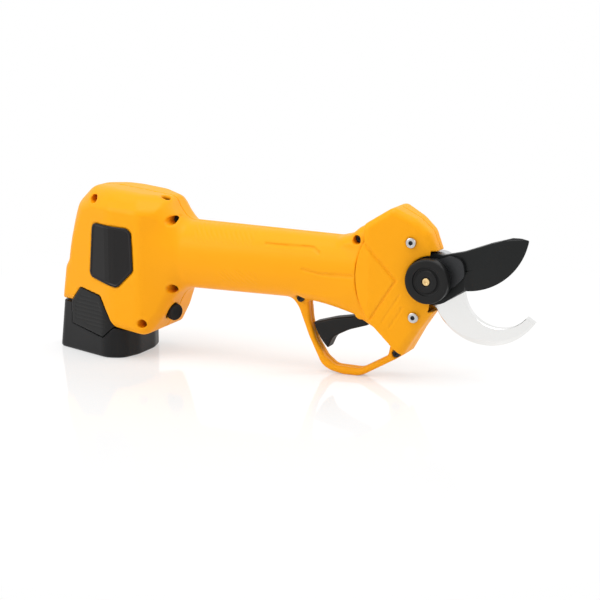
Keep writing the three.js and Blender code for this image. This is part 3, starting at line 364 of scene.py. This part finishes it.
def hatched(place):
    """Two faint grips: diagonal ridges 3.2 mm apart, 0.15 mm high, faded out at each grip's edge."""
    x = place.node("ShaderNodeSeparateXYZ", Vector=place)
    z = Map(place.tree, x.socket.node.outputs["Z"])
    slant = (x + z) * (2 * math.pi / RIDGE_PITCH)
    ridges = slant.math("SINE", slant) * 0.5 + 0.5
    height = 0.0
    for x0, x1, z0, z1 in GRIPS:
        from_x, from_z = x - (x0 + x1) / 2, z - (z0 + z1) / 2
        past_x = x.math("ABSOLUTE", from_x) - (x1 - x0) / 2
        past_z = z.math("ABSOLUTE", from_z) - (z1 - z0) / 2
        past = x.math("MAXIMUM", past_x, past_z)
        fade = past.node("ShaderNodeClamp", Value=(0.0 - past) * 800)
        height = ridges * fade * RIDGE_HEIGHT + height
    return height


orange = surfaced("orange_nylon", (0.93, 0.375, 0.002), 0.44, grain=(2600, 0.00005), wear=(60, 0.05),
                  extra=hatched, Specular_IOR_Level=0.18)


def moulded_halves(name, solid, low, high, width, step, most_faces):
    """The right and left halves of an orange moulding, each cut off just short of the middle plane."""
    for side, half in ((-1, "right"), (1, "left")):
        near, far = (-width, 0.5) if side < 0 else (-0.5, width)
        points, faces = surface(lambda x, y, z: common(solid(x, y, z), HALF_GAP - side * y, 0.3),
                                (low[0], near, low[1]), (high[0], far, high[1]), step)
        make(f"{half}_{name}_skin", points, faces, orange, "body", [f"{half}_{name}"],
             keep=min(1, most_faces / len(faces)), sharp=50)


moulded_halves("body_shell", body_shell, (-155, -0.5), (80, 105.5), 28, 0.72, 95000)

# ================= badge =================
# A dark moulded plate, about 34 by 39 mm, set almost flush in the right side of the housing. It follows
# the housing's curve and has a narrow raised rim.


def badge_solid(x, y, z):
    """A band 0.8 to 1.15 mm thick along the housing's plan outline, cut to the badge's outline, with its
    middle sunk 0.35 mm inside the rim."""
    edge = flat(BADGE, x, z)
    plan = flat(HOUSING_PLAN, x, y)
    top = 0.45 - 0.35 * np.clip((-edge - 1.1) / 0.5, 0, 1)
    return common(common(plan - top, -(plan + 0.7), 0.3), np.maximum(edge, y + 8), 0.3)


DULL = {"Specular_IOR_Level": 0.22}     # for the black plastics and the blade's coating
badge_black = surfaced("badge_black", (0.009, 0.008, 0.008), 0.3, grain=(1500, 0.00001), **DULL)
points, faces = surface(badge_solid, (-125, -29, 43), (-88, -16, 86), 0.36)
make("badge_plate", points, faces, badge_black, "body", ["badge"])

# ================= head covers =================
# Two orange covers close the head round the blade's pivot. They meet the handle along an arc, are notched
# for the round pivot nut and the jaws, and carry a chevron groove with two faint strokes beside it.

HEAD_SCREWS = [(84, 84), (85.8, 40.4)]
NOTCH_RADII = 13.6, 15.5        # round the nut on the right, round the bolt's head on the left


def head_cover(x, y, z):
    """The head's outline without its seam, cut by a plan that tapers to the jaws with a 4.5 mm edge, less
    the same 2.6 mm further in, the notch, the jaws' window, screw seats, groove and strokes."""
    side = np.abs(y)
    rim = outline([(20, 10, 0), (75.5, 10, 0)] + HEAD_RIM + [(40.6, 83.6, 0), (20, 83.6, 0)])
    plan = flat(mirrored([(30, 17.2, 0), (60, 17.2, 0), (98, 7.5, 0), (110, 4.4, 0)]), x, y)
    block = common(common(flat(rim, x, z), plan, 4.5), flat(HEAD, x, z), 0.45)
    groove = np.maximum(line([(56.4, 83.6), (75.2, 61.3), (61.2, 38.6)], x, z) - 0.65, -(plan + 0.7))
    solid = without(block, groove, 0.3)
    for stroke in ([(68, 37), (77.4, 52.4)], [(72, 33.6), (79, 45.4)]):
        solid = without(solid, np.maximum(line(stroke, x, z) - 0.6, -(plan + 0.3)), 0.2)
    solid = np.maximum(solid, -np.maximum(flat(HEAD, x, z) + WALL, plan + WALL))
    for sx, sz in HEAD_SCREWS:
        away = np.hypot(x - sx, z - sz)
        solid = np.minimum(solid, np.maximum(np.maximum(away - 4.2, 7.6 - y), block))
        solid = without(solid, np.maximum(away - 3.35, y + 11), 0.4)
        solid = np.maximum(solid, -np.maximum(away - 1.75, y - 9.6))
    from_pivot = np.hypot(x - PIVOT_X, z - AXIS_Z)
    solid = without(solid, from_pivot - np.where(y < 0, *NOTCH_RADII), 0.5)
    tall = np.maximum(43.6 - z, z - 77.6)
    jaws = np.minimum(overlap(82 - x, tall, side - 8), np.maximum(PIVOT_X - x, tall))
    jaws = np.minimum(jaws, np.maximum(from_pivot - 16.4, side - 8))
    solid = without(solid, jaws, 0.4)
    solid = np.maximum(solid, -np.maximum(np.hypot(y, z - AXIS_Z) - BARREL_BORE, x - 62))
    solid = np.maximum(solid, -overlap(x - 66, side - 14, 40 - z, z - 86))
    mouth = flat(outline([(58, 44, 0), (58, 30, 0), (64, 26, 0), (70, 38, 0)]), x, z)
    solid = np.maximum(solid, -np.maximum(mouth, side - 8))
    guard_screw_x, guard_screw_z = BODY_SCREWS[-1][:2]
    return without(solid, np.hypot(x - guard_screw_x, z - guard_screw_z) - 4.15, 0.3)


moulded_halves("head_cover", head_cover, (50, 14), (100, 105), 18, 0.5, 80000)

# ================= screws =================
# Black pan-head screws in wells close the body; two bright M3 socket cap screws hold the head covers;
# two more clamp the hook from the left. All have a hexagon socket.


def revolved(profile, count, centre, axis="y"):
    """Profile points (radius, height) turned about an axis through centre; radius 0 closes an end in one
    point. Returns points and faces, outward when the profile runs up the axis along its outside."""
    points, rows, faces = [], [], []
    t = np.linspace(0, 2 * np.pi, count, endpoint=False)
    for radius, height in profile:
        turn = t if radius > 0 else t[:1]
        rows.append(np.arange(len(turn)) + sum(len(r) for r in rows))
        along = np.full(len(turn), height)
        points.append(np.stack([radius * np.cos(turn), along, -radius * np.sin(turn)], 1))
    for one, two in zip(rows[:-1], rows[1:]):
        for k in range(count):
            a, b = one[k % len(one)], one[(k + 1) % len(one)]
            c, d = two[(k + 1) % len(two)], two[k % len(two)]
            faces.append(list(dict.fromkeys([a, b, c, d])))
    points = np.concatenate(points)
    if axis == "z":
        points = points[:, [0, 2, 1]] * (1, -1, 1)
    if axis == "x":
        points = points[:, [1, 0, 2]] * (1, -1, 1)
    return points + np.array(centre), faces


def socket_screw(radius, face, height, shank, reach, hexagon, x, z):
    """Shank and domed head on the y axis, facing -y, with a hexagon socket: the socket's wall is a circle
    of points pushed out to a hexagon. face is the y of the head's outer face."""
    profile = [(0, reach), (shank, reach), (shank, face + height), (radius, face + height),
               (radius, face + 0.5), (radius * 0.95, face + 0.15), (radius * 0.85, face), (hexagon * 1.2, face),
               (hexagon, face + 0.12), (hexagon, face + height * 0.62), (0, face + height * 0.7)]
    points, faces = revolved(profile[::-1], 36, (0, 0, 0))
    away = np.hypot(points[:, 0], points[:, 2])
    turn = np.arctan2(points[:, 2], points[:, 0])
    corner = np.cos(np.pi / 6) / np.cos((turn % (np.pi / 3)) - np.pi / 6)
    inner = (np.abs(away - hexagon) < 1e-6) & (points[:, 1] > face + 0.05)
    points[inner] *= np.stack([corner, np.ones_like(corner), corner], 1)[inner]
    return points + (x, 0, z), faces


black_oxide = surfaced("black_oxide", (0.018, 0.018, 0.019), 0.38, 0.6, wear=(900, 0.08))
bright_screw = surfaced("zinc_screw", (0.56, 0.5, 0.4), 0.3, 1.0, wear=(1200, 0.07))
for i, (x, z, depth, reach) in enumerate(BODY_SCREWS, 1):
    points, faces = socket_screw(2.27, -depth - 1.9, 1.6, 1.2, reach, 1.05, x, z)
    make(f"body_screw_{i}_turned", points, faces, black_oxide, "body", [f"body_screw_{i}"],
         sharp=30)


def paint_socket_shade(material, screws, radius):
    """Painted shade: near black within radius (metres) of each screw's axis, where the hexagon socket's shade
    falls, bright outside it.
    """
    tree = material.node_tree
    place = Map(tree, tree.nodes.new("ShaderNodeTexCoord").outputs["Object"])
    px = place.node("ShaderNodeSeparateXYZ", Vector=place)
    pz = Map(tree, px.socket.node.outputs["Z"])
    squares = []
    for x, z in screws:
        dx, dz = px - x * 0.001, pz - z * 0.001
        squares.append(dx * dx + dz * dz)
    away = px.math("SQRT", px.math("MINIMUM", *squares))
    # painted shade: the base colour drops to near black inside each socket
    beyond_shade = away.node("ShaderNodeClamp", Value=(away - radius) * 6000)
    tree.links.new((beyond_shade * 0.5 + 0.03).socket, tree.nodes["Principled BSDF"].inputs["Base Color"])


# Painted shade: the two head screws' hexagon sockets are painted near black in their base colour.
paint_socket_shade(bright_screw, HEAD_SCREWS, 0.00125)
for i, (x, z) in enumerate(HEAD_SCREWS, 1):
    points, faces = socket_screw(3.0, -12.9, 1.6, 1.6, 9.2, 1.3, x, z)
    make(f"head_screw_{i}_turned", points, faces, bright_screw, "body", [f"head_screw_{i}"],
         sharp=30)

# ================= hook =================
# The fixed counter blade: a thick bright steel hook that a branch rests in. Its outer edge is chamfered
# on the near face, widest under the middle of the curve.


def slab(points, rings):
    """A plate: rings of (inset along the outline's inward normal, y) from the back face to the front one,
    each ring the outline moved in by its inset; the two end rings are closed by flat faces."""
    before, after = np.roll(points, 1, axis=0), np.roll(points, -1, axis=0)
    run = after - before
    run /= np.linalg.norm(run, axis=1)[:, None]
    inward = np.stack([-run[:, 1], run[:, 0]], 1)
    count = len(points)
    spots = []
    for inset, y in rings:
        moved = points + inward * np.broadcast_to(inset, count)[:, None]
        spots.append(np.stack([moved[:, 0], np.broadcast_to(y, count), moved[:, 1]], 1))
    k = np.arange(count)
    faces = [list(range(count))[::-1]]
    for row in range(len(rings) - 1):
        a, b = row * count + k, row * count + (k + 1) % count
        faces += np.stack([a, b, b + count, a + count], 1).tolist()
    faces.append(list(range(count * (len(rings) - 1), count * len(rings))))
    return np.concatenate(spots), faces


polished = surfaced("ground_steel", (0.8, 0.8, 0.79), 0.24, 1.0, wear=(140, 0.05))
corners = (arc(126.56, 58.7, 33.3, 205, 328, 60) + arc(133.7, 57.4, 21.2, 321, 186, 60)
           + arc(PIVOT_X, AXIS_Z, 14.2, 25, 228, 40))
hook_line = np.array([c[:2] for c in corners])
chamfer = np.zeros(len(hook_line))     # its width along the outer arc, by the angle about the arc's centre
chamfer[:60] = np.interp(np.linspace(205, 328, 60), [214, 236, 268, 300, 319, 328],
                         [0, 1.1, 2.9, 1.7, 0.7, 0.7])
points, faces = slab(hook_line, [(0.35, 3.7), (0, 3.4), (0, -0.9 + 0.36 * chamfer), (0.35 + chamfer, -1.2)])
make("hook", points, faces, polished, "body", ["counter_blade"], sharp=12)

# ================= blade =================
# The moving blade: dark coated steel, flat at the back against the hook, its near face ground down in one
# wide hollow-looking bevel to the curved cutting edge; a round eye turns on the pivot bolt.


def eyed_plate(loops, hole):
    """A plate with a round hole from outline loops of (points, y), back first: hole ring, loops, hole ring,
    closed on itself. Each hole ring has its points in the same directions as the loop beside it."""
    x, z, radius = hole
    count = len(loops[0][0])

    def ring(points, y):
        turn = np.arctan2(points[:, 1] - z, points[:, 0] - x)
        return np.stack([x + radius * np.cos(turn), np.full(count, y), z + radius * np.sin(turn)], 1)

    spots = [ring(*loops[0])]
    spots += [np.stack([p[:, 0], np.broadcast_to(y, count), p[:, 1]], 1) for p, y in loops]
    spots.append(ring(loops[-1][0], loops[-1][1]))
    rows, k = len(spots), np.arange(count)
    faces = []
    for row in range(rows):
        a, b = row * count + k, row * count + (k + 1) % count
        up = ((row + 1) % rows - row) * count
        faces += np.stack([a, b, b + up, a + up], 1).tolist()
    return np.concatenate(spots), faces


def between(corners, count):
    """Points at equal distances along a run of straight pieces."""
    corners = np.array(corners, float)
    far = np.concatenate([[0], np.cumsum(np.linalg.norm(np.diff(corners, axis=0), axis=1))])
    at = np.linspace(0, far[-1], count)
    return np.stack([np.interp(at, far, corners[:, i]) for i in (0, 1)], 1)


coated = surfaced("coated_steel", (0.007, 0.008, 0.008), 0.33, grain=(3000, 0.000006), wear=(300, 0.06),
                  **DULL)
edge = np.array([c[:2] for c in arc(112.8, 94.8, 38.3, 272, 349.5, 70)])
spine = between([(150.2, 88.4), (146, 89.35), (141.1, 89.3), (129.5, 85.9), (113.4, 79.9), (101, 77.0)], 40)
root = np.array([c[:2] for c in arc(PIVOT_X, AXIS_Z, 15.4, 76, 307, 60)])
back_line = np.concatenate([edge, spine, root])
grind = np.array([c[:2] for c in arc(112.8, 94.8, 25.9, 266, 339, 70)])
grind[:8] += (edge[:8] - grind[:8]) * np.linspace(0.95, 0, 8)[:, None] ** 1.5
front_spine = between([
    (137.9, 87.0), (138.6, 88.0), (137.5, 88.0), (129.6, 85.6), (113.5, 79.6), (101, 76.7)], 40)
front_root = PIVOT_X + (root[:, 0] - PIVOT_X) * 0.98, AXIS_Z + (root[:, 1] - AXIS_Z) * 0.98
front_line = np.concatenate([grind, front_spine, np.stack(front_root, 1)])
middle_y = np.concatenate([np.full(70, -1.75), np.linspace(-1.75, -4.7, 40), np.full(60, -4.7)])
inset_back = back_line + (np.array([120, 72]) - back_line) * 0.004
points, faces = eyed_plate([(inset_back, -1.5), (back_line, -1.6), (back_line, middle_y), (front_line, -5.0)],
                           (PIVOT_X, AXIS_Z, 5.1))
make("blade", points, faces, coated, "jaw", ["moving_blade"], sharp=14)

# ================= pivot nut and cap screw =================
# A black round nut 26 mm across closes the pivot on the right: a rim, a sunk ring and a raised
# centre with a small brass screw. The bolt and the thrust washer keep their built shape.

nut_profile = [
    (5.1, -10.3), (12.6, -10.3), (13.0, -10.7), (13.0, -15.1), (12.85, -15.5), (12.5, -15.8), (12.0, -15.95),
    (11.4, -16.0), (8.7, -16.0), (8.3, -15.9), (8.1, -15.6), (8.0, -15.1), (7.7, -14.95), (6.9, -14.95),
    (6.7, -15.1), (6.6, -15.75), (6.35, -16.0), (3.1, -16.0), (2.75, -15.85), (2.6, -15.5), (2.6, -14.6),
    (1.45, -14.6), (1.45, -12.4), (5.1, -12.4), (5.1, -10.3)]
nut_black = surfaced("nut_black", (0.007, 0.007, 0.007), 0.4, grain=(1800, 0.00002), **DULL)
points, faces = revolved(nut_profile[::-1], 96, (PIVOT_X, 0, AXIS_Z))
make("nut", points, faces, nut_black, "body", ["pivot_nut"], sharp=35)
turned_brass = surfaced("turned_brass", (0.78, 0.56, 0.27), 0.28, 1.0, wear=(900, 0.06))
points, faces = socket_screw(2.25, -16.0, 1.2, 1.1, -8, 0.95, PIVOT_X, AXIS_Z)
make("cap_screw_turned", points, faces, turned_brass, "body", ["cap_screw"], sharp=30)

# ================= trigger =================
# A black lever hung in front of the handle: a thin curved finger blade, flat-topped, with a round eye on
# its steel pin. It moves up into the handle and its coil spring brings it back.


def lever(x, y, z):
    """The lever's outline, with its tip on an arc about the pin, 10 mm wide with rounded edges; an eye
    round the pin, less the spring's pocket on the left and the pin's bore."""
    side = np.abs(y)
    px, pz = TRIGGER_PIVOT
    shape = outline(arc(px, pz, 35, 197, 226, 8) + [
        (32.5, 22.4, 8), (43, 27.8, 14), (54.5, 31.4, 0), (px + 4, pz - 2, 0), (px, pz, 0),
        (px - 4, pz - 2, 0), (46, 36.2, 6), (33, 34, 16)])
    bar = common(flat(shape, x, z), side - 5, 1.4)
    away = np.hypot(x - px, z - pz)
    solid = joined(bar, common(away - 4.4, side - 5, 0.5), 1.0)
    solid = np.maximum(solid, -np.maximum(away - 4.9, 2.4 - y))
    return np.maximum(solid, -(away - 2.1))


lever_black = surfaced("lever_black", (0.008, 0.008, 0.008), 0.5, grain=(2200, 0.00004), **DULL)
points, faces = surface(lever, (18, -5.2, 13), (59, 5.2, 46), 0.34)
make("trigger_lever", points, faces, lever_black, "trigger_lever", ["trigger"])

# ================= power button and status light =================
# A soft black push button, 10 mm across with a shallow dished top, in the front of the housing beside the
# handle; a small dark red lens at the bottom of a well on the housing's shoulder.


def aimed(points, centre, axis):
    """Points about the z axis turned so that +z lies along axis, then moved to centre."""
    turn = Vector((0, 0, 1)).rotation_difference(Vector(axis)).to_matrix()
    return points @ np.array(turn).T + np.array(centre)


soft_black = surfaced("soft_black", (0.006, 0.006, 0.006), 0.62, grain=(1500, 0.00002), **DULL)
button_profile = [(0, -5.2), (2.2, -5.2), (2.2, -0.6), (5.0, -0.6), (5.2, -0.4), (5.2, 1.5), (5.1, 1.9),
                  (4.75, 2.15), (4.3, 2.2), (3.9, 2.05), (3.0, 1.75), (1.5, 1.55), (0, 1.5)]
points, faces = revolved(button_profile, 64, (0, 0, 0), "z")
make("button_cap", aimed(points, BUTTON, BUTTON_AXIS), faces, soft_black, "button", ["power_button"])
lens_red = surfaced("lens_red", (0.16, 0.012, 0.01), 0.12)
lens_profile = [(0, 93.4), (2.6, 93.4), (2.6, 96.2), (2.3, 96.8), (1.5, 97.05), (0, 97.1)]
points, faces = revolved(lens_profile, 48, (*LIGHT, 0), "z")
make("light_lens", points, faces, lens_red, "body", ["status_light"])

# ================= battery pack =================
# The pack slides up into the housing: below the orange skin shows a black moulded foot with a slanted
# upper seam, rounded lower edge and a recess on each side for the latch. The tower inside holds the cells.


def pack(x, y, z):
    """Plan outline, leaning in at the rear, with a rounded foot up to the seam under the housing; a narrower
    plan goes on up inside, cut short at the rear; hollow, with a recess for each latch."""
    lean = 3.4 * np.clip(z / 30.4, 0, 1) * np.clip((-122 - x) / 25, 0, 1)
    plan = flat(PACK_PLAN, x - lean, y)
    seam = outline([(-154.8, -0.5, 0), (-60, -0.5, 0), (-60, 15.4, 0), (-83.1, 15.4, 5), (-106.1, 19.4, 0),
                    (-140.9, 30.4, 0), (-152.4, 30.4, 0)])
    skin = common(common(plan, -z, 1.8), flat(seam, x, z), 0.4)
    inner = flat(PACK_PLAN, x, y) + 3.4
    narrow = np.minimum(overlap(inner, -144.8 - x, z - 48), overlap(inner, -138 - x, z - 72))
    narrow = common(narrow, 1 - z, 0.4)
    window = np.maximum(flat(LATCH, x, z) - 0.4, 8 - np.abs(y))
    skin = without(skin, np.maximum(window, -inner), 0.4)
    room = inner + 1.8
    hollow = np.minimum(overlap(room, -143 - x, z - 46.2), np.maximum(room, -136.2 - x))
    return np.maximum(np.minimum(skin, narrow), -np.maximum(hollow, WALL - z))


pack_black = surfaced("pack_black", (0.006, 0.006, 0.0065), 0.4, grain=(2000, 0.00004), wear=(80, 0.05),
                      **DULL)
points, faces = surface(pack, (-155, -28, 0), (-91.5, 28, 72), 0.62)
make("pack_case", points, faces, pack_black, "battery", ["battery_case"],
     keep=min(1, 90000 / len(faces)))

# ================= latches =================
# One squeeze latch on each side of the pack, six-cornered, following the pack's curve, with faint level
# finger lines.


def latch(x, y, z):
    """A skin 2 mm thick along the pack's plan inside the latch's outline, with lines cut 0.16 mm deep."""
    plan = flat(PACK_PLAN, x, y)
    shape = flat(LATCH, x, z)
    ribs = np.abs((z + 200) % 2.5 - 1.25) - 0.35
    sunk = np.maximum(np.maximum(ribs, -(plan + 0.16)), shape + 3.4)
    return without(common(common(plan, -(plan + 2), 0.3), shape, 0.5), sunk, 0.12)


latch_black = surfaced("latch_black", (0.007, 0.007, 0.007), 0.36, grain=(1800, 0.00003), **DULL)
for side, name in ((-1, "right"), (1, "left")):
    low = (-142, -28, 12) if side < 0 else (-142, 12, 12)
    high = (-104, -12, 42) if side < 0 else (-104, 28, 42)
    points, faces = surface(latch, low, high, 0.4)
    make(f"{name}_latch_pad", points, faces, latch_black, f"latch_{name}", [f"{name}_latch"])

# ================= the mechanism inside, as built =================
# Gears, shafts, bearings, the motor, the boards and the cells keep their built shape and get their own
# finishes: machined and phosphated steel, cast aluminium, copper, solder mask and coloured sleeves.

INSIDE = {
    "steel": (surfaced("machined_steel", (0.56, 0.57, 0.58), 0.3, 1.0, wear=(400, 0.08)), [
        "thrust_washer", "pinion_bearing_1", "pinion_bearing_2", "ring_gear", "first_carrier",
        "output_carrier", "motor_rotor", "trigger_pin", "trigger_spring", "bevel_pinion"]
        + [f"planet_{s}_{k}" for s in (1, 2) for k in (1, 2, 3)]),
    "dark_steel": (surfaced("phosphated_steel", (0.035, 0.036, 0.038), 0.42, 0.7, wear=(500, 0.08)),
                   ["drive_gear", "pivot_bolt", "motor_can"]),
    "dark_screw": (black_oxide, ["hook_screw_1", "hook_screw_2"]),
    "frame_aluminium": (surfaced("cast_aluminium", (0.56, 0.57, 0.58), 0.42, 1.0, grain=(900, 0.00004)),
                        ["head_frame"]),
    "black_plastic": (pack_black,
                      ["trigger_switch", "power_switch", "contact_block", "battery_lid", "motor_end_cap"]),
    "copper_winding": (surfaced("enamelled_copper", (0.5, 0.17, 0.05), 0.35, 0.9, wear=(300, 0.08)),
                       ["motor_stator"]),
    "board_green": (surfaced("solder_mask", (0.01, 0.09, 0.04), 0.3), ["control_board", "battery_board"]),
    "sleeve_blue": (surfaced("cell_sleeve", (0.02, 0.13, 0.3), 0.3),
                    ["board_capacitor", "cell_1", "cell_2", "cell_3"]),
}
for slot, (material, nodes) in INSIDE.items():
    for node in nodes:
        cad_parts[node].data.materials.clear()
        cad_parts[node].data.materials.append(material)

# ================= floor, light and camera =================
# A pale, slightly glossy floor that fades to plain white away from the tool, a large soft light overhead,
# one from the left front and a weak one from the right and behind, in a white room.


def for_the_eye(tree):
    """1 for what the camera sees directly or in a reflection, 0 for what only lights other surfaces."""
    rays = tree.nodes.new("ShaderNodeLightPath")
    return Map(tree, rays.outputs["Is Camera Ray"]) + Map(tree, rays.outputs["Is Glossy Ray"])


mesh = bpy.data.meshes.new("floor")
mesh.from_pydata([(-6, -6, 0), (6, -6, 0), (6, 6, 0), (-6, 6, 0)], [], [(0, 1, 2, 3)])
floor = bpy.data.objects.new("floor", mesh)
bpy.context.collection.objects.link(floor)
pale = surfaced("pale_floor", (0.94, 0.94, 0.94), 0.06)
tree = pale.node_tree
place = Map(tree, tree.nodes.new("ShaderNodeTexCoord").outputs["Object"])
far = place.node("ShaderNodeVectorMath", output=1, settings={"operation": "LENGTH"}, i0=place)
fade = far.node("ShaderNodeClamp", Value=(far - 0.05) * 2.0 + 0.35) * for_the_eye(tree)
glow = tree.nodes.new("ShaderNodeEmission")
mixed = tree.nodes.new("ShaderNodeMixShader")
tree.links.new(fade.socket, mixed.inputs["Fac"])
tree.links.new(tree.nodes["Principled BSDF"].outputs["BSDF"], mixed.inputs[1])
tree.links.new(glow.outputs["Emission"], mixed.inputs[2])
tree.links.new(mixed.outputs["Shader"], tree.nodes["Material Output"].inputs["Surface"])
mesh.materials.append(pale)

world = bpy.data.worlds.new("room")
bpy.context.scene.world = world
world.use_nodes = True
background = world.node_tree.nodes["Background"]
strength = for_the_eye(world.node_tree) * 0.4 + 0.6
world.node_tree.links.new(strength.socket, background.inputs["Strength"])
background.inputs["Color"].default_value = (1, 1, 1, 1)


def soft_light(name, place, target, size, power):
    """A square area light at place, turned to target; metres and watts."""
    lamp = bpy.data.lights.new(name, "AREA")
    lamp.shape, lamp.size, lamp.energy = "SQUARE", size, power
    light = bpy.data.objects.new(name, lamp)
    light.location = place
    light.rotation_mode = "QUATERNION"
    light.rotation_quaternion = (Vector(target) - Vector(place)).to_track_quat("-Z", "Y")
    bpy.context.collection.objects.link(light)
    return light


soft_light("top", (0.1, -0.25, 1.3), (0, 0, 0.05), 1.0, 10)
soft_light("left_front", (-0.9, -1.1, 0.8), (0, 0, 0.06), 0.7, 7)
soft_light("right_back", (0.9, 0.7, 0.7), (0.05, 0, 0.06), 0.5, 4)

camera_data = bpy.data.cameras.new("camera")
camera_data.lens, camera_data.sensor_width = 100, 36
camera_data.clip_end = 50
camera = bpy.data.objects.new("camera", camera_data)
target = Vector((0.0093, 0, 0.042))
azimuth, elevation = math.radians(24), math.radians(12)
level = math.cos(elevation)
back = Vector((math.sin(azimuth) * level, -math.cos(azimuth) * level, math.sin(elevation)))
camera.location = target + back
camera.rotation_mode = "QUATERNION"
camera.rotation_quaternion = (-back).to_track_quat("-Z", "Y")
bpy.context.collection.objects.link(camera)
bpy.context.scene.camera = camera
bpy.context.scene.view_settings.view_transform = "Standard"
